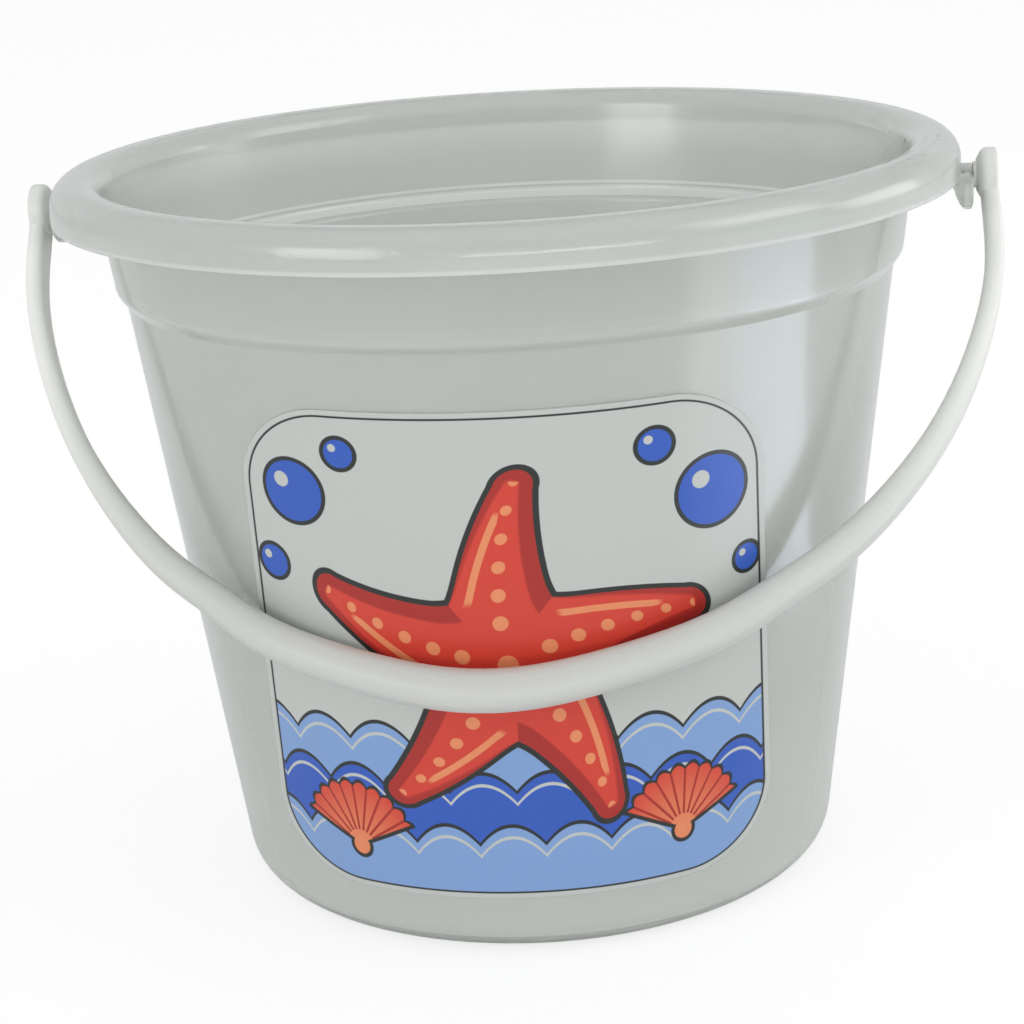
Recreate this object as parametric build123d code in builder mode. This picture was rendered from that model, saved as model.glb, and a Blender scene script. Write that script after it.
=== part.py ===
from build123d import *
import os
from math import atan2, copysign, cos, hypot, pi, radians, sin, tan

# A round seaside bucket of about 5 litres with a swinging bail handle, in millimetres.
# The origin is on the ground under the middle of the base. +Z is up, the handle's pivots lie along X,
# and the printed front faces -Y, where the lowered handle rests.

# Bucket body: one moulding of even wall
bucket_height = 196.4
wall = 1.8
base_radius = 81.0  # outside, where the wall's straight line would meet the ground
wall_taper = 7.45  # degrees that the wall leans outwards
base_corner = 11.2  # outside radius from the wall to the ground
foot_width = 4.5  # flat ring that the bucket stands on
base_rise = 3.0  # height of the raised base above the ground
base_ramp = 3.5  # breadth of the slope between the foot and the raised base
shoulder_drop = 30.4  # from the rim's top down to the middle of the shoulder's slope
shoulder_rise = 3.4
shoulder_step = 2.1
soft_bend = 1.5  # inside radius of the base's and the shoulder's bends

# Rolled rim
rim_width = 13.0  # from the mouth's edge to the skirt's outside
skirt_depth = 10.4
rim_outer_roll = 6.3
rim_inner_roll = 5.6

# Ears under the rim, which carry the pivots
pivot_drop = 12.2  # from the rim's top down to the pivots
ear_reach = 2.9  # how far the ear's outer face stands out from the skirt
ear_radius = 9.0
ear_plate = 2.2
ear_flange = 1.6
ear_top = 0.9  # above the pivot, at the ear's outer face
ear_shoulder = 1.3  # how much higher the ear meets the rim's skirt
ear_back_drop = 3.6  # below the pivot, where the slanted underside meets the skirt
ear_belly = 14.0  # bulge radius of the slanted underside
ear_tip = 1.7  # breadth of the ear's lowest edge
ear_edge = 0.6
hub_radius = 3.1  # outside of the bearing tube that each stud turns in
pocket_top = 3.3  # above the pivot

# Handle: curved arms, a thicker grip, round pads and snap-in studs
handle_overreach = 24.4  # how much farther than the rim's edge the grip's middle swings
handle_lead = 18.4  # straight start of each arm
arm_lean = 0.9  # how far each arm leans outwards over its straight start
loop_fullness = 1.71  # 2 is a true ellipse, less is more pointed
loop_sweep = 16.0  # how far the arms bow towards the wall, seen from the side
loop_steps = 16
arm_thickness = 4.6
arm_width = 10.6
arm_root_thickness = 3.8  # where an arm leaves its pad
arm_root_width = 12.6
grip_thickness = 10.5
grip_width = 10.2
section_roundness = 0.44  # corner radius as a share of the section's smaller side
full_round = 0.49  # the roundest that a section's corners can be, as such a share
pad_radius = 7.0
pad_thickness = 3.7
pad_round = 2.0  # on the pad's inner edge, where the boss flares into it
pad_edge = 0.8  # on the pad's outer edge
pad_cover = 0.1  # how far the pad's outer face stands over the arm's root
stud_radius = 2.0
stud_clearance = 0.05  # radial, in the ear's hole
stud_gap = 0.3  # between the ear's plate and the collar or the stud's head
collar_radius = 3.4
collar_length = 0.9
boss_length = 1.5
boss_radius = 4.2  # at its smaller end
head_radius = 2.6
head_rim = 0.6
head_length = 2.8
head_tip_radius = 1.9
slot_width = 1.1
slot_root = 2.0  # solid stud between the slot's end and the ear's outer face

# Print on the front wall
film_gap = 0.02  # between the wall and the print's back
film_thickness = 0.3
film_width = 128.0
film_low = 17.5
film_top_gap = 14.8  # bare wall between the print and the shoulder
film_corner = 22.0
film_turn = 2.9  # degrees from the front's middle towards +X
film_arc = 140.0  # degrees of wall from which the print is cut
rest_gap = 0.35  # between the lowered handle and the print

taper = radians(wall_taper)


def outside_radius(height):
    """Outside of the lower wall at a height."""
    return base_radius + height * tan(taper)


def inside_radius(height):
    """Inside of the lower wall at a height."""
    return outside_radius(height) - wall / cos(taper)


# Sizes that follow from these
shoulder_height = bucket_height - shoulder_drop
shoulder_low = shoulder_height - shoulder_rise / 2
shoulder_high = shoulder_height + shoulder_rise / 2
mouth_radius = inside_radius(bucket_height) + shoulder_step
rim_radius = mouth_radius + rim_width
pivot_height = bucket_height - pivot_drop
ear_face = rim_radius + ear_reach
collar_face = ear_face + stud_gap
boss_start = collar_face + collar_length
pad_inside = boss_start + boss_length
pad_outside = pad_inside + pad_thickness
arm_root = pad_outside - pad_cover - arm_root_thickness / 2
handle_half_span = arm_root + arm_lean
handle_reach = rim_radius + handle_overreach
film_high = shoulder_low - film_top_gap

# Bucket: the skin that holds the water runs from the base's middle up the wall and over the rim
foot_inner = outside_radius(base_corner) - base_corner / cos(taper) - foot_width
skin_points = [
    (0, base_rise + wall),
    (foot_inner - base_ramp, base_rise + wall),
    (foot_inner, wall),
    (inside_radius(wall), wall),
    (inside_radius(shoulder_low), shoulder_low),
    (inside_radius(shoulder_high) + shoulder_step, shoulder_high),
    (mouth_radius, bucket_height),
    (rim_radius, bucket_height),
    (rim_radius, bucket_height - skirt_depth),
]
skin_bends = [soft_bend, soft_bend, base_corner - wall, soft_bend, soft_bend, rim_inner_roll, rim_outer_roll]

# One ear, at +X: a round-ended lug with a slanted underside
ear_back = rim_radius - wall
ear_depth = ear_face - ear_back
ear_bottom = pivot_height - ear_radius
ear_tip_back = ear_face - ear_tip
with BuildPart() as ear:
    with BuildSketch(Plane.XZ) as ear_side:
        with BuildLine():
            Polyline(
                (ear_tip_back, ear_bottom),
                (ear_face, ear_bottom),
                (ear_face, pivot_height + ear_top),
                (ear_back, pivot_height + ear_top + ear_shoulder),
                (ear_back, pivot_height - ear_back_drop),
            )
            RadiusArc((ear_back, pivot_height - ear_back_drop), (ear_tip_back, ear_bottom), -ear_belly)
        make_face()
    extrude(amount=ear_radius, both=True)
    with BuildSketch(Plane.YZ.offset(ear_back)) as ear_front:
        with Locations((0, pivot_height)):
            Circle(ear_radius)
            Rectangle(2 * ear_radius, 2 * ear_radius, align=(Align.CENTER, Align.MIN))
    extrude(amount=ear_depth, mode=Mode.INTERSECT)
    fillet(ear.faces().sort_by(Axis.X)[-1].edges(), ear_edge)

with BuildPart() as bucket_body:
    with BuildSketch(Plane.XZ) as shell_section:
        with BuildLine():
            FilletPolyline(*skin_points, radius=skin_bends)
            offset(amount=wall, side=Side.RIGHT)
        make_face()
    revolve(axis=Axis.Z)
    add(ear.part)
    mirror(ear.part, about=Plane.YZ)
    for side in (1, -1):
        with BuildSketch(Plane.YZ.offset(side * (ear_face - ear_plate))) as pocket:
            with Locations((0, pivot_height)):
                Circle(ear_radius - ear_flange)
            with Locations((0, pivot_height + pocket_top)):
                Rectangle(2 * ear_radius, ear_radius, align=(Align.CENTER, Align.MIN), mode=Mode.SUBTRACT)
        extrude(amount=-side * ear_depth, mode=Mode.SUBTRACT)
        with BuildSketch(Plane.YZ.offset(side * ear_back)) as bearing_tube:
            with Locations((0, pivot_height)):
                Circle(hub_radius)
        extrude(amount=side * ear_depth)
        with BuildSketch(Plane.YZ.offset(side * (ear_back - wall))) as pivot_hole:
            with Locations((0, pivot_height)):
                Circle(stud_radius + stud_clearance)
        extrude(amount=side * (ear_depth + 2 * wall), mode=Mode.SUBTRACT)
bucket_body.part.label = "bucket_body"

# Handle: the loop is flat seen from the front and bows a little towards the wall seen from the side
loop_depth = handle_reach - handle_lead
loop_power = 2 / loop_fullness
loop_line = [(0, arm_root, 0), (handle_lead / 2, (arm_root + handle_half_span) / 2, 0)]
for step in range(loop_steps + 1):
    angle = pi * step / loop_steps
    level = cos(angle)
    rise = abs(sin(angle))
    across = handle_half_span * copysign(abs(level) ** loop_power, level)
    along = handle_lead + loop_depth * rise**loop_power
    outward_x = loop_depth * copysign(abs(level) ** (2 - loop_power), level)
    outward_y = handle_half_span * rise ** (2 - loop_power)
    loop_line.append((along, across, atan2(outward_y, outward_x)))
loop_line += [(handle_lead / 2, -(arm_root + handle_half_span) / 2, pi), (0, -arm_root, pi)]


def loop_sections(hang):
    """Section planes, thicknesses, widths and corners along the loop, when it hangs this far below level."""
    loop_plane = Plane(origin=(0, 0, pivot_height), x_dir=(1, 0, 0), z_dir=(0, sin(hang), -cos(hang)))
    sections = []
    for along, across, turn in loop_line:
        share = along / handle_reach
        sweep = 4 * loop_sweep * share * (1 - share)
        local = Plane(
            origin=(across, along, sweep),
            x_dir=(cos(turn), sin(turn), 0),
            z_dir=(-sin(turn), cos(turn), 0),
        )
        root = max(0, 1 - along / handle_lead)
        thickness = arm_thickness + (grip_thickness - arm_thickness) * share**2
        thickness += (arm_root_thickness - arm_thickness) * root
        width = arm_width + (grip_width - arm_width) * share + (arm_root_width - arm_width) * root**2
        corner = min(section_roundness, full_round) * min(thickness, width)
        sections.append((Plane(loop_plane.location * local.location), thickness, width, corner))
    return sections


def wall_gap(hang):
    """Least distance between the loop and the print's surface."""
    gaps = []
    for section, thickness, width, corner in loop_sections(hang):
        place = section.origin
        spread = hypot(place.X, place.Y)
        normal = Vector(place.X * cos(taper) / spread, place.Y * cos(taper) / spread, -sin(taper))
        flank = (thickness / 2 - corner) * abs(normal.dot(section.x_dir))
        flat = (width / 2 - corner) * abs(normal.dot(section.y_dir))
        depth = (spread - outside_radius(place.Z)) * cos(taper)
        gaps.append(depth - film_gap - film_thickness - flank - flat - corner)
    return min(gaps)


# The lowered handle hangs where it all but touches the printed front
hang_clear = 0
hang_touching = pi / 2
for halving in range(30):
    rest_angle = (hang_clear + hang_touching) / 2
    if wall_gap(rest_angle) > rest_gap:
        hang_clear = rest_angle
    else:
        hang_touching = rest_angle

# One end of the handle, at +X: the pad, the flared boss and the snap-in stud with its slotted head
head_face = ear_back - stud_gap
head_tip = head_face - head_length
with BuildPart() as handle_end:
    with BuildSketch(Plane.XZ) as end_half:
        with BuildLine():
            Polyline(
                (pad_outside, pivot_height),
                (head_tip, pivot_height),
                (head_tip, pivot_height + head_tip_radius),
                (head_face - head_rim, pivot_height + head_radius),
                (head_face, pivot_height + head_radius),
                (head_face, pivot_height + stud_radius),
                (collar_face, pivot_height + stud_radius),
                (collar_face, pivot_height + collar_radius),
                (boss_start, pivot_height + collar_radius),
                (boss_start, pivot_height + boss_radius),
            )
            FilletPolyline(
                (boss_start, pivot_height + boss_radius),
                (pad_inside, pivot_height + pad_radius),
                (pad_outside, pivot_height + pad_radius),
                (pad_outside, pivot_height),
                radius=(pad_round, pad_edge),
            )
        make_face()
    revolve(axis=Axis((0, 0, pivot_height), (1, 0, 0)))
    with BuildSketch(Plane.YZ.offset(head_tip)) as slot:
        with Locations((0, pivot_height)):
            Rectangle(slot_width, 3 * head_radius)
    extrude(amount=ear_face - slot_root - head_tip, mode=Mode.SUBTRACT)

with BuildPart() as bail_handle:
    for section, thickness, width, corner in loop_sections(rest_angle):
        with BuildSketch(section):
            RectangleRounded(thickness, width, corner)
    loft()
    add(handle_end.part)
    mirror(handle_end.part, about=Plane.YZ)
bail_handle.part.label = "bail_handle"

# Print: a thin skin on the lower wall, cut to a rounded oblong as seen from its own front
film_front = radians(film_turn)
film_start = radians(film_turn - 90 - film_arc / 2)
film_edge_plane = Plane(
    origin=(0, 0, 0),
    x_dir=(cos(film_start), sin(film_start), 0),
    z_dir=(sin(film_start), -cos(film_start), 0),
)
film_face_plane = Plane(
    origin=(0, 0, 0),
    x_dir=(cos(film_front), sin(film_front), 0),
    z_dir=(sin(film_front), -cos(film_front), 0),
)
film_back = film_gap / cos(taper)
film_front_face = film_back + film_thickness / cos(taper)
with BuildPart() as front_print:
    with BuildSketch(film_edge_plane) as film_section:
        with BuildLine():
            Polyline(
                (outside_radius(film_low) + film_back, film_low),
                (outside_radius(film_low) + film_front_face, film_low),
                (outside_radius(film_high) + film_front_face, film_high),
                (outside_radius(film_high) + film_back, film_high),
                close=True,
            )
        make_face()
    revolve(axis=Axis.Z, revolution_arc=film_arc)
    with BuildSketch(film_face_plane) as film_outline:
        with Locations((0, (film_low + film_high) / 2)):
            RectangleRounded(film_width, film_high - film_low, film_corner)
    extrude(amount=rim_radius, mode=Mode.INTERSECT)
front_print.part.label = "front_print"

os.makedirs("parts", exist_ok=True)
export_step(bucket_body.part, "parts/bucket_body.step")
export_step(bail_handle.part, "parts/bail_handle.step")
export_step(front_print.part, "parts/front_print.step")
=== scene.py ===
from math import cos, pi, radians, sin

import bpy
from mathutils import Matrix, Vector

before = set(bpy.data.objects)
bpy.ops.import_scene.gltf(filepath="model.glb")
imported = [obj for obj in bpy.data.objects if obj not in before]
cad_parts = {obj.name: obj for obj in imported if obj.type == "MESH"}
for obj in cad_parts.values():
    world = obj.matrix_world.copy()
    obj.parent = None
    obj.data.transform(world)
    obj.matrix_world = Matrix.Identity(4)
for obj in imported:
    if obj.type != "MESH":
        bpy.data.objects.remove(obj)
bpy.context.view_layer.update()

# Camera: the photograph's viewpoint and lens, in metres, millimetres and degrees
CAMERA_DISTANCE = 0.6915
CAMERA_HEIGHT = 0.2995
CAMERA_LENS = 91.63
CAMERA_SENSOR = 36
CAMERA_TURN = 6.5  # round the bucket, from its front towards +X
CAMERA_PAN = -0.26
CAMERA_PITCH = 16.458
CAMERA_ROLL = -3.306

# Colours, in linear light
WHITE = (1, 1, 1)
BUCKET_TINT = (0.742, 0.769, 0.732)
# Paler tone for the bucket's cloud, and painted light on its base and in the throat under the rim
BUCKET_PALE_AND_LIT = (0.96, 0.985, 0.95)
# Painted shade: the inside is darker than the outside, and its ledge darker still
BUCKET_INSIDE_SHADE = (0.655, 0.68, 0.645)
BUCKET_LEDGE_SHADE = (0.55, 0.57, 0.54)
# Painted highlight for thin light lines on the ledge, the skirt and the shoulder
EDGE_HIGHLIGHT = (0.93, 0.94, 0.93)
HANDLE_WHITE = (0.595, 0.60, 0.572)
# Paler tone for the handle's cloud, and painted light on its arms and pads
HANDLE_PALE_AND_LIT = (0.88, 0.88, 0.85)
PRINT_WHITE = (0.535, 0.555, 0.535)
PRINT_RED = (0.66, 0.050, 0.030)
PRINT_DEEP_RED = (0.40, 0.022, 0.016)
PRINT_ORANGE = (0.80, 0.27, 0.12)
PRINT_BLUE = (0.030, 0.105, 0.50)
PRINT_PALE_BLUE = (0.22, 0.36, 0.66)
PRINT_LINE = (0.020, 0.024, 0.022)

# Surfaces: scale of each cloud, and roughness as the least and what the cloud adds
BUCKET_CLOUD = 14.0
HANDLE_CLOUD = 30.0
PRINT_CLOUD = 22.0
CLOUD_DETAIL = 3.0
BUCKET_ROUGHNESS = (0.22, 0.06)
HANDLE_ROUGHNESS = (0.38, 0.08)
PRINT_ROUGHNESS = (0.28, 0.05)
BUCKET_GLASSINESS = {
    "IOR": 1.49,
    "Transmission Weight": 0.6,
    "Coat Weight": 0.8,
    "Coat Roughness": 0.13,
}
GRAIN_SCALE = 900.0
GRAIN_DETAIL = 2.0
GRAIN_DEPTH = 0.00005
GRAIN_STRENGTH = 0.5

# Bucket, in metres: its outer wall, how far within it the inside begins, and bounds of bands
WALL_FOOT_RADIUS = 0.081
WALL_LEAN = 0.1308
WALL_DEPTH = 0.0011
SHOULDER_STEP = 0.0021
SHOULDER_RADIUS = 0.1029
THROAT_RADIUS = 0.113
RIM_EDGE_RADIUS = 0.117

# Soft steps up the bucket and the handle: height and softness, in metres
# Painted light: the bucket is paler up to this height above its base
BASE_LIGHT_FADE = (0.035, 0.035)
SHOULDER_RISE = (0.1682, 0.0012)
INSIDE_TOP = (0.183, 0.006)
# Painted light: the handle's arms are paler above the first height, and the pads a little less
# above the second
ARM_LIGHT_RISE = (0.12, 0.04)
PAD_LIGHT_RISE = (0.176, 0.004)

# Bands round the bucket: middle height, half height and softness, in metres
# Painted shade on the inside ledge, painted highlight lines on the ledge, the skirt and the
# shoulder, and painted light in the throat under the rim
LEDGE_SHADE_BAND = (0.1665, 0.0019, 0.0008)
LEDGE_HIGHLIGHT = (0.1694, 0.0004, 0.0003)
THROAT_LIGHT_BAND = (0.1913, 0.0028, 0.0016)
SKIRT_HIGHLIGHT = (0.1862, 0.0008, 0.0004)
SHOULDER_HIGHLIGHT = (0.1668, 0.0008, 0.0004)

# Shares of a second colour
BASE_LIGHT_SHARE = 0.7
BUCKET_CLOUD_SHARE = 0.3
THROAT_LIGHT_SHARE = 0.55
SHOULDER_HIGHLIGHT_SHARE = 0.6
PAD_LIGHT_SHARE = 0.35
HANDLE_CLOUD_SHARE = 0.1
PRINT_CLOUD_SHARE = 0.5
PRINT_LIFT = 1.05

# Print, in millimetres round the wall and up from the print's middle
MILLIMETRES = 1000
PRINT_TURN = 2.9  # degrees from the front towards +X
PRINT_RADIUS = 92.0
PRINT_MIDDLE = 83.5
PRINT_HALF_WIDTH = 64.0
PRINT_HALF_HEIGHT = 66.0
PRINT_CORNER = 22.0
BORDER_INSET = 1.6
BORDER_WIDTH = 0.55
OUTLINE = 1.1
SOFT = 0.12

# Waves: level of the crests, shift to the left, and ink
WAVES = (
    (-17.0, 0.0, PRINT_PALE_BLUE),
    (-30.0, 9.0, PRINT_BLUE),
    (-45.0, 2.0, PRINT_PALE_BLUE),
)
WAVE_HALF = 9.0
WAVE_RISE = 5.5
FOAM_DROP = 3.4
FOAM_WIDTH = 0.9

# Bubbles: place and radius, and a glint as shares of the radius
BUBBLES = (
    (-50, 44, 8.5),
    (-36, 55, 4.2),
    (-60, 24, 4.8),
    (-62, 2, 3.0),
    (51, 40, 9.5),
    (36, 54, 4.6),
    (62, 20, 4.0),
)
GLINT_SHIFT = 0.34
GLINT_SIZE = 0.24

# Fan shells: places of their hinges
SHELLS = ((-47.0, -54.0), (46.0, -52.0))
SHELL_SIZE = 19.0
SHELL_SPREAD = 1.15  # radians either side of upright
SHELL_RIBS = 9
SHELL_SCALLOP = 0.30
SHELL_HINGE = 3.2
SHELL_RIB_WIDTH = 0.7
SHELL_RIB_START = 4.5

# Sea star: its form, then the shaded rim, the light stroke and the spots on each arm
STAR_ARMS = 5
STAR_ARM = 47.0
STAR_ROOT = 16.5
STAR_TIP = 5.2
STAR_BODY = 20.0
STAR_BLEND = 7.0
STAR_TILT = 0.16
STAR_CURL = 0.005
STAR_OUTLINE = 1.43
SHADE_INSET = 3.4
SHADE_LEAN = 0.22
SHADE_SOFT = 0.5
STROKE_INSET = 5.0
STROKE_WIDTH = 1.9
STROKE_SIDE = -1.5
STROKE_START = 17.0
STROKE_END = 40.0
STROKE_SOFT = 1.0
SPOT_SHIFT = 4.0
SPOT_HALF_STEP = 3.7
SPOT_SIZE = 2.2
SPOT_TAPER = 0.022
SPOTS_START = 7.7
SPOTS_END = 48.4
MIDDLE_SPOT = 2.6

# Studio: the light all round
SKY_LIGHT = (0.93, 0.95, 0.95)
SKY_STRENGTH = 0.745

# Floor: its white for the camera, and the duller tone that lights the object from below
FLOOR_WHITE = (0.92, 0.92, 0.92)
FLOOR_BOUNCE = (0.92, 0.925, 0.92)
FLOOR_CORNERS = ((-6, -6), (6, -6), (6, 6), (-6, 6))
FLOOR_HEIGHT = -0.0002
FLOOR_GLOW = 1.12
GLOW_FOR_CAMERA = 0.68
GLOW_THROUGH_PLASTIC = 0.6

# Cards on the floor that only the gloss shows: the window's reflection on the bucket's right
CARD_HEIGHT = 0.001
CARDS = (
    (
        "window_card",
        ((0.235, -0.098), (0.86, -0.365), (0.90, 0.02), (0.235, 0.048)),
        (0.82, 0.88, 1),
        2.9,
    ),
    (
        "curtain_card",
        ((0.200, -0.150), (0.80, -0.600), (0.86, -0.365), (0.235, -0.098)),
        (0.93, 0.95, 1),
        2.2,
    ),
)

# Lamps: name, place, size and aim in metres, and power in watts
LAMPS = (
    ("window_right", (1.45, 0.45, 0.4), (0.8, 0.6), (0, 0, 0.1), 2.4),
    ("window_high", (1.3, -0.4, 1.0), (0.9, 0.7), (0, 0, 0.1), 3.0),
    ("low_front", (0.35, -1.8, 0.11), (2.0, 0.2), (0, 0, 0.05), 4.4),
    ("window_left", (-1.05, -1.3, 0.65), (0.7, 0.8), (0, 0, 0.15), 4.2),
    ("ceiling", (0.0, -0.6, 2.0), (1.8, 1.8), (0, 0, 0), 1.2),
)


class Value:
    """A shader socket, so that shader maths reads as plain sums."""

    def __init__(self, finish, socket):
        self.finish = finish
        self.socket = socket

    def maths(self, operation, *others):
        return self.finish.maths(operation, self, *others)

    def __add__(self, other):
        return self.maths("ADD", other)

    def __sub__(self, other):
        return self.maths("SUBTRACT", other)

    def __rsub__(self, other):
        return self.finish.maths("SUBTRACT", other, self)

    def __mul__(self, other):
        return self.maths("MULTIPLY", other)

    def __truediv__(self, other):
        return self.maths("DIVIDE", other)

    def __neg__(self):
        return self.maths("MULTIPLY", -1)

    def __abs__(self):
        return self.maths("ABSOLUTE")

    def __lt__(self, other):
        return self.maths("LESS_THAN", other)

    def __gt__(self, other):
        return self.maths("GREATER_THAN", other)

    def sine(self):
        return self.maths("SINE")

    def cosine(self):
        return self.maths("COSINE")

    def root(self):
        return self.maths("SQRT")

    def least(self, other):
        return self.maths("MINIMUM", other)

    def most(self, other):
        return self.maths("MAXIMUM", other)

    def angle_to(self, other):
        return self.maths("ARCTAN2", other)

    def wrapped(self, half_step):
        """The value folded into the steps on either side of 0."""
        return self.maths("WRAP", half_step, -half_step)

    def blended(self, other, softness):
        return self.maths("SMOOTH_MIN", other, softness)

    def edge(self, middle, softness):
        """0 below the middle and 1 above it, with a soft step between."""
        settings = {"interpolation_type": "SMOOTHSTEP"}
        limits = {"Value": self, "From Min": middle - softness, "From Max": middle + softness}
        return self.finish.node("ShaderNodeMapRange", settings, limits)

    __radd__ = __add__
    __rmul__ = __mul__
    __and__ = __mul__
    __or__ = most


class Finish:
    """A material or the world, whose nodes are added one by one."""

    def __init__(self, owner):
        self.owner = owner
        owner.use_nodes = True
        self.tree = owner.node_tree
        self.tree.nodes.clear()

    def node(self, kind, settings=None, inputs=None, output=0):
        node = self.tree.nodes.new(kind)
        for name, setting in (settings or {}).items():
            setattr(node, name, setting)
        for name, value in (inputs or {}).items():
            if isinstance(value, Value):
                self.tree.links.new(value.socket, node.inputs[name])
            else:
                node.inputs[name].default_value = value
        return Value(self, node.outputs[output])

    def outputs(self, value, *names):
        """More outputs of the node that a value comes from."""
        return [Value(self, value.socket.node.outputs[name]) for name in names]

    def maths(self, operation, *values):
        return self.node("ShaderNodeMath", {"operation": operation}, dict(enumerate(values)))

    def place(self):
        """The point on the object, and its X, Y and Z, in metres."""
        point = self.node("ShaderNodeTexCoord", output="Object")
        split = self.node("ShaderNodeSeparateXYZ", None, {0: point})
        return point, *self.outputs(split, 0, 1, 2)

    def rays(self, *names):
        """For each name, 1 for that kind of ray and 0 for others."""
        return self.outputs(self.node("ShaderNodeLightPath"), *names)

    def noise(self, point, scale, detail=CLOUD_DETAIL):
        inputs = {"Vector": point, "Scale": scale, "Detail": detail}
        return self.node("ShaderNodeTexNoise", None, inputs)

    def mix(self, share, low, high):
        """Colour low where the share is 0 and colour high where it is 1."""
        colours = {0: share, 6: as_colour(low), 7: as_colour(high)}
        return self.node("ShaderNodeMix", {"data_type": "RGBA"}, colours, output=2)

    def mix_shaders(self, share, low, high):
        """Shader low where the share is 0 and shader high where it is 1."""
        return self.node("ShaderNodeMixShader", None, {0: share, 1: low, 2: high})

    def light(self, colour, strength, kind="ShaderNodeEmission"):
        return self.node(kind, None, {"Color": as_colour(colour), "Strength": strength})

    def plastic(self, inputs):
        return self.done(self.node("ShaderNodeBsdfPrincipled", None, inputs))

    def done(self, shader, kind="ShaderNodeOutputMaterial"):
        output = self.tree.nodes.new(kind)
        self.tree.links.new(shader.socket, output.inputs["Surface"])
        return self.owner


def new_finish(name):
    return Finish(bpy.data.materials.new(name))


def as_colour(colour):
    return colour if isinstance(colour, Value) else (*colour, 1.0)


def clouded(cloud, least, added):
    return least + cloud * added


def reach(across, up):
    return (across * across + up * up).root()


def band(distance, half, softness):
    """1 within half a width of where the distance is 0, and 0 beyond it."""
    return 1 - abs(distance).edge(half, softness)


def level_band(height, middle, half, softness):
    return band(height - middle, half, softness)


def area(distance):
    """1 inside a shape of the print and 0 outside it."""
    return 1 - distance.edge(0.0, SOFT)


def line(distance, width):
    """1 on the outline of a shape of the print."""
    return band(distance, width / 2, SOFT)


def bucket_plastic():
    """Frosted plastic with a cloud of paler tone; painted shade makes the inside duller, painted
    highlights make thin lighter edges, and painted light makes the base and the throat under the
    rim paler.
    """
    finish = new_finish("frosted_polypropylene")
    point, x, y, z = finish.place()
    cloud = finish.noise(point, BUCKET_CLOUD)
    # Painted light: the bucket is made paler towards its base, lifting the shade near the floor;
    # the cloud adds a random paler tone
    low = 1 - z.edge(*BASE_LIGHT_FADE)
    tone_and_painted_light = (cloud * BUCKET_CLOUD_SHARE + low * BASE_LIGHT_SHARE).least(1.0)
    colour = finish.mix(tone_and_painted_light, BUCKET_TINT, BUCKET_PALE_AND_LIT)
    ring = reach(x, y)
    wall = WALL_FOOT_RADIUS + z * WALL_LEAN + SHOULDER_STEP * z.edge(*SHOULDER_RISE)
    inside = (wall - ring > WALL_DEPTH) & (1 - z.edge(*INSIDE_TOP))
    # Painted shade darkens the inside of the bucket
    colour = finish.mix(inside, colour, BUCKET_INSIDE_SHADE)
    # Painted shade on the ledge inside
    colour = finish.mix(inside & level_band(z, *LEDGE_SHADE_BAND), colour, BUCKET_LEDGE_SHADE)
    # Painted highlight: a thin light line along the ledge's upper edge
    colour = finish.mix(inside & level_band(z, *LEDGE_HIGHLIGHT), colour, EDGE_HIGHLIGHT)
    # Painted light: the throat under the rim is paler, lifting the shade beneath the inner roll
    throat_light = (ring < THROAT_RADIUS) & level_band(z, *THROAT_LIGHT_BAND)
    colour = finish.mix(throat_light * THROAT_LIGHT_SHARE, colour, BUCKET_PALE_AND_LIT)
    # Painted highlights: thin light lines along the skirt's lower edge and round the outer
    # shoulder
    skirt_highlight = (ring > RIM_EDGE_RADIUS) & level_band(z, *SKIRT_HIGHLIGHT)
    shoulder_highlight = (ring > SHOULDER_RADIUS) & level_band(z, *SHOULDER_HIGHLIGHT)
    colour = finish.mix(skirt_highlight | shoulder_highlight * SHOULDER_HIGHLIGHT_SHARE, colour, EDGE_HIGHLIGHT)
    roughness = clouded(cloud, *BUCKET_ROUGHNESS)
    return finish.plastic({"Base Color": colour, "Roughness": roughness, **BUCKET_GLASSINESS})


def handle_plastic():
    """Satin white plastic, with painted light making the arms paler than the grip and the pads."""
    finish = new_finish("satin_white_plastic")
    point, _, _, z = finish.place()
    cloud = finish.noise(point, HANDLE_CLOUD)
    # Painted light: the arms are paler than the grip, and the pads take less of it
    arm = z.edge(*ARM_LIGHT_RISE) * (1 - PAD_LIGHT_SHARE * z.edge(*PAD_LIGHT_RISE))
    tone_and_painted_light = (arm + cloud * HANDLE_CLOUD_SHARE).least(1.0)
    colour = finish.mix(tone_and_painted_light, HANDLE_WHITE, HANDLE_PALE_AND_LIT)
    roughness = clouded(cloud, *HANDLE_ROUGHNESS)
    grain = finish.noise(point, GRAIN_SCALE, GRAIN_DETAIL)
    relief = {"Height": grain, "Distance": GRAIN_DEPTH, "Strength": GRAIN_STRENGTH}
    normal = finish.node("ShaderNodeBump", None, relief)
    return finish.plastic({"Base Color": colour, "Roughness": roughness, "Normal": normal})


def waves(finish, colour, around, up):
    for level, shift, ink in WAVES:
        along = (around + shift).wrapped(WAVE_HALF)
        crest = up - level + along * along * (WAVE_RISE / WAVE_HALF**2)
        colour = finish.mix(area(crest), colour, ink)
        colour = finish.mix(line(crest + FOAM_DROP, FOAM_WIDTH), colour, PRINT_WHITE)
        colour = finish.mix(line(crest, OUTLINE), colour, PRINT_LINE)
    return colour


def bubbles(finish, colour, around, up):
    for across, height, size in BUBBLES:
        side = around - across
        rise = up - height
        rim = reach(side, rise) - size
        shift = GLINT_SHIFT * size
        glint = reach(side + shift, rise - shift) - GLINT_SIZE * size
        colour = finish.mix(area(rim), colour, PRINT_BLUE)
        colour = finish.mix(area(glint), colour, PRINT_WHITE)
        colour = finish.mix(line(rim, OUTLINE), colour, PRINT_LINE)
    return colour


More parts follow.
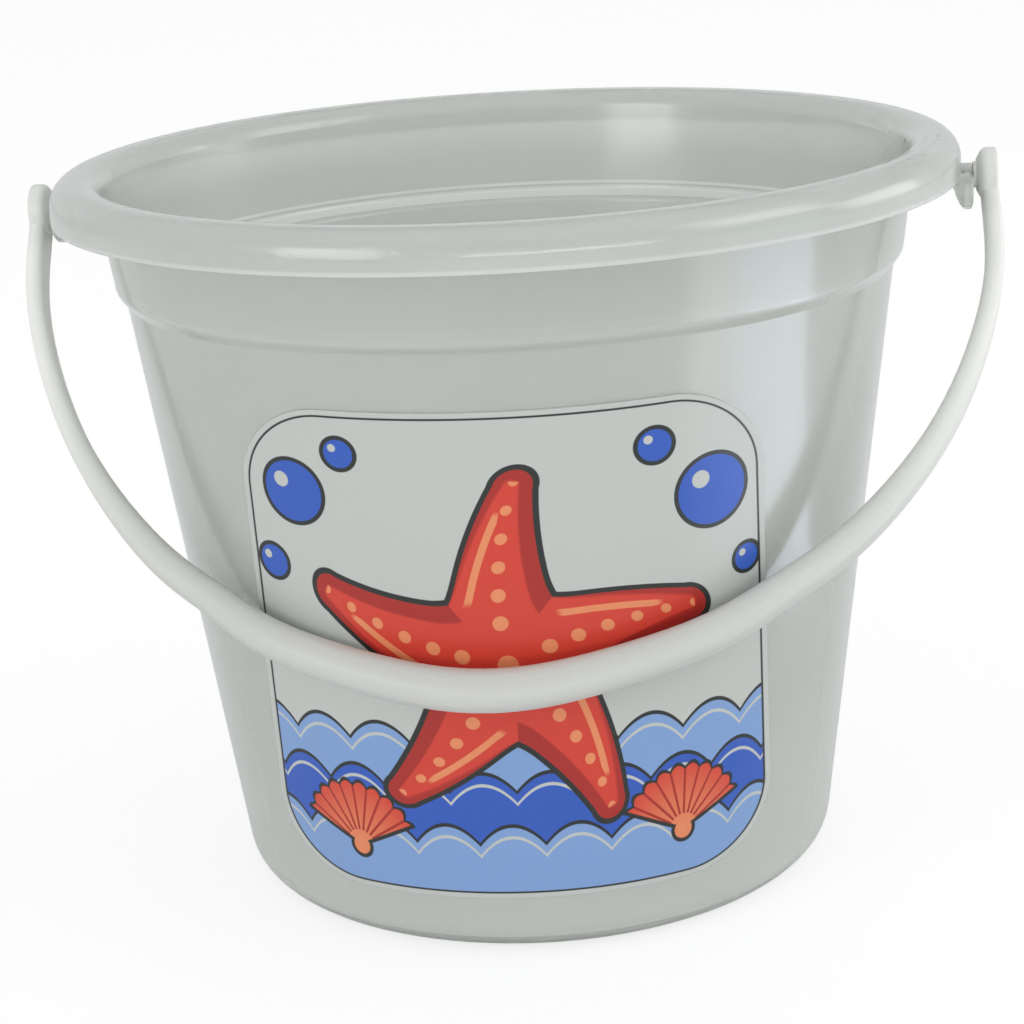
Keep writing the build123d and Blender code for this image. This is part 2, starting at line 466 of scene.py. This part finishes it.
def shells(finish, colour, around, up):
    half_rib = SHELL_SPREAD / SHELL_RIBS
    for across, height in SHELLS:
        side = around - across
        rise = up - height
        radius = reach(side, rise)
        lean = side.angle_to(rise)
        within = (lean + half_rib).wrapped(half_rib) * radius
        scallop = radius - SHELL_SIZE + within * within * SHELL_SCALLOP
        fan = scallop.most((abs(lean) - SHELL_SPREAD) * radius).least(radius - SHELL_HINGE)
        ink = finish.mix(radius / SHELL_SIZE, PRINT_ORANGE, PRINT_RED)
        ribs = line(abs(within) - half_rib * radius, SHELL_RIB_WIDTH)
        ink = finish.mix(ribs & (radius > SHELL_RIB_START), ink, PRINT_DEEP_RED)
        colour = finish.mix(area(fan), colour, ink)
        colour = finish.mix(line(fan, OUTLINE), colour, PRINT_LINE)
    return colour


def sea_star(finish, colour, around, up):
    radius = reach(around, up)
    lean = around.angle_to(up) + STAR_TILT - radius * STAR_CURL
    fold = lean.wrapped(pi / STAR_ARMS)
    side = radius * fold.sine()
    along = radius * fold.cosine()
    taper = (STAR_ROOT - STAR_TIP) / STAR_ARM
    half_width = STAR_ROOT - along.least(STAR_ARM) * taper
    arm = reach(side, (along - STAR_ARM).most(0.0)) - half_width
    star = arm.blended(radius - STAR_BODY, STAR_BLEND)
    shade = (star + SHADE_INSET + side * SHADE_LEAN).edge(0.0, SHADE_SOFT)
    ink = finish.mix(shade, PRINT_RED, PRINT_DEEP_RED)
    stroke = line(star + STROKE_INSET, STROKE_WIDTH) & (side < STROKE_SIDE)
    length = along.edge(STROKE_START, STROKE_SOFT) & (1 - along.edge(STROKE_END, STROKE_SOFT))
    ink = finish.mix(stroke & length, ink, PRINT_ORANGE)
    spot_size = SPOT_SIZE - along * SPOT_TAPER
    spot = reach(side, (along - SPOT_SHIFT).wrapped(SPOT_HALF_STEP)) - spot_size
    spots = area(spot) & (along > SPOTS_START) & (along < SPOTS_END)
    ink = finish.mix(spots | area(radius - MIDDLE_SPOT), ink, PRINT_ORANGE)
    colour = finish.mix(area(star), colour, ink)
    return finish.mix(line(star, STAR_OUTLINE), colour, PRINT_LINE)


def print_film():
    """A sea star over waves, with bubbles and fan shells, on a white ground with a fine border."""
    finish = new_finish("printed_film")
    point, x, y, z = finish.place()
    turn = radians(PRINT_TURN)
    around = (x.angle_to(-y) - turn) * PRINT_RADIUS
    across = (x * cos(turn) + y * sin(turn)) * MILLIMETRES
    up = z * MILLIMETRES - PRINT_MIDDLE
    side = (abs(across) - (PRINT_HALF_WIDTH - PRINT_CORNER)).most(0.0)
    rise = (abs(up) - (PRINT_HALF_HEIGHT - PRINT_CORNER)).most(0.0)
    border = reach(side, rise) - (PRINT_CORNER - BORDER_INSET)
    cloud = finish.noise(point, PRINT_CLOUD)
    lighter = tuple(PRINT_LIFT * part for part in PRINT_WHITE)
    colour = finish.mix(cloud * PRINT_CLOUD_SHARE, PRINT_WHITE, lighter)
    picture = colour
    for layer in (waves, bubbles, shells, sea_star):
        picture = layer(finish, picture, around, up)
    colour = finish.mix(area(border), colour, picture)
    colour = finish.mix(line(border, BORDER_WIDTH), colour, PRINT_LINE)
    roughness = clouded(cloud, *PRINT_ROUGHNESS)
    return finish.plastic({"Base Color": colour, "Roughness": roughness})


def give(node, material):
    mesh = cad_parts[node].data
    mesh.materials.clear()
    mesh.materials.append(material)


def add_object(name, data):
    """A new object of the studio."""
    thing = bpy.data.objects.new(name, data)
    bpy.context.scene.collection.objects.link(thing)
    return thing


def sheet(name, corners, height, material):
    mesh = bpy.data.meshes.new(name)
    mesh.from_pydata([(*corner, height) for corner in corners], [], [(0, 1, 2, 3)])
    mesh.materials.append(material)
    return add_object(name, mesh)


def light_world():
    """Even light all round, seen as plain white by the camera and through the plastic."""
    finish = Finish(bpy.data.worlds.new("studio_light"))
    bpy.context.scene.world = finish.owner
    camera_ray, through_ray = finish.rays("Is Camera Ray", "Is Transmission Ray")
    light = finish.light(SKY_LIGHT, SKY_STRENGTH, "ShaderNodeBackground")
    white = finish.light(WHITE, 1.0, "ShaderNodeBackground")
    mixed = finish.mix_shaders(camera_ray.most(through_ray), light, white)
    finish.done(mixed, "ShaderNodeOutputWorld")


def lay_floor():
    finish = new_finish("pale_floor")
    camera_ray, through_ray = finish.rays("Is Camera Ray", "Is Transmission Ray")
    tone = finish.mix(camera_ray, FLOOR_BOUNCE, FLOOR_WHITE)
    matt = finish.node("ShaderNodeBsdfDiffuse", None, {"Color": tone})
    glow = finish.light(WHITE, FLOOR_GLOW)
    share = (camera_ray * GLOW_FOR_CAMERA).most(through_ray * GLOW_THROUGH_PLASTIC)
    material = finish.done(finish.mix_shaders(share, matt, glow))
    floor = sheet("floor", FLOOR_CORNERS, FLOOR_HEIGHT, material)


def lay_cards():
    for name, corners, tint, strength in CARDS:
        finish = new_finish(name)
        (glossy_ray,) = finish.rays("Is Glossy Ray")
        clear = finish.node("ShaderNodeBsdfTransparent")
        shine = finish.light(tint, strength)
        material = finish.done(finish.mix_shaders(glossy_ray, clear, shine))
        card = sheet(name, corners, CARD_HEIGHT, material)


def hang_lamps():
    for name, spot, size, aim, power in LAMPS:
        lamp = bpy.data.lights.new(name, "AREA")
        lamp.shape = "RECTANGLE"
        lamp.size, lamp.size_y = size
        lamp.energy = power
        holder = add_object(name, lamp)
        holder.location = spot
        toward = Vector(aim) - Vector(spot)
        holder.rotation_euler = toward.to_track_quat("-Z", "Y").to_euler()


def photograph_camera():
    pan, pitch, roll = radians(CAMERA_PAN), radians(CAMERA_PITCH), radians(CAMERA_ROLL)
    forward = Vector((sin(pan) * cos(pitch), cos(pan) * cos(pitch), -sin(pitch)))
    level = Vector((cos(pan), -sin(pan), 0))
    upright = level.cross(forward)
    right = cos(roll) * level + sin(roll) * upright
    up = cos(roll) * upright - sin(roll) * level
    turn = Matrix.Rotation(radians(CAMERA_TURN), 4, "Z")
    pose = Matrix((right, up, -forward)).transposed().to_4x4()
    pose.translation = (0, -CAMERA_DISTANCE, CAMERA_HEIGHT)
    data = bpy.data.cameras.new("photograph")
    data.lens = CAMERA_LENS
    data.sensor_width = CAMERA_SENSOR
    camera = add_object("photograph", data)
    camera.matrix_world = turn @ pose
    bpy.context.scene.camera = camera


give("bucket_body", bucket_plastic())
give("bail_handle", handle_plastic())
give("front_print", print_film())
light_world()
lay_floor()
lay_cards()
hang_lamps()
photograph_camera()
bpy.context.scene.view_settings.view_transform = "Standard"
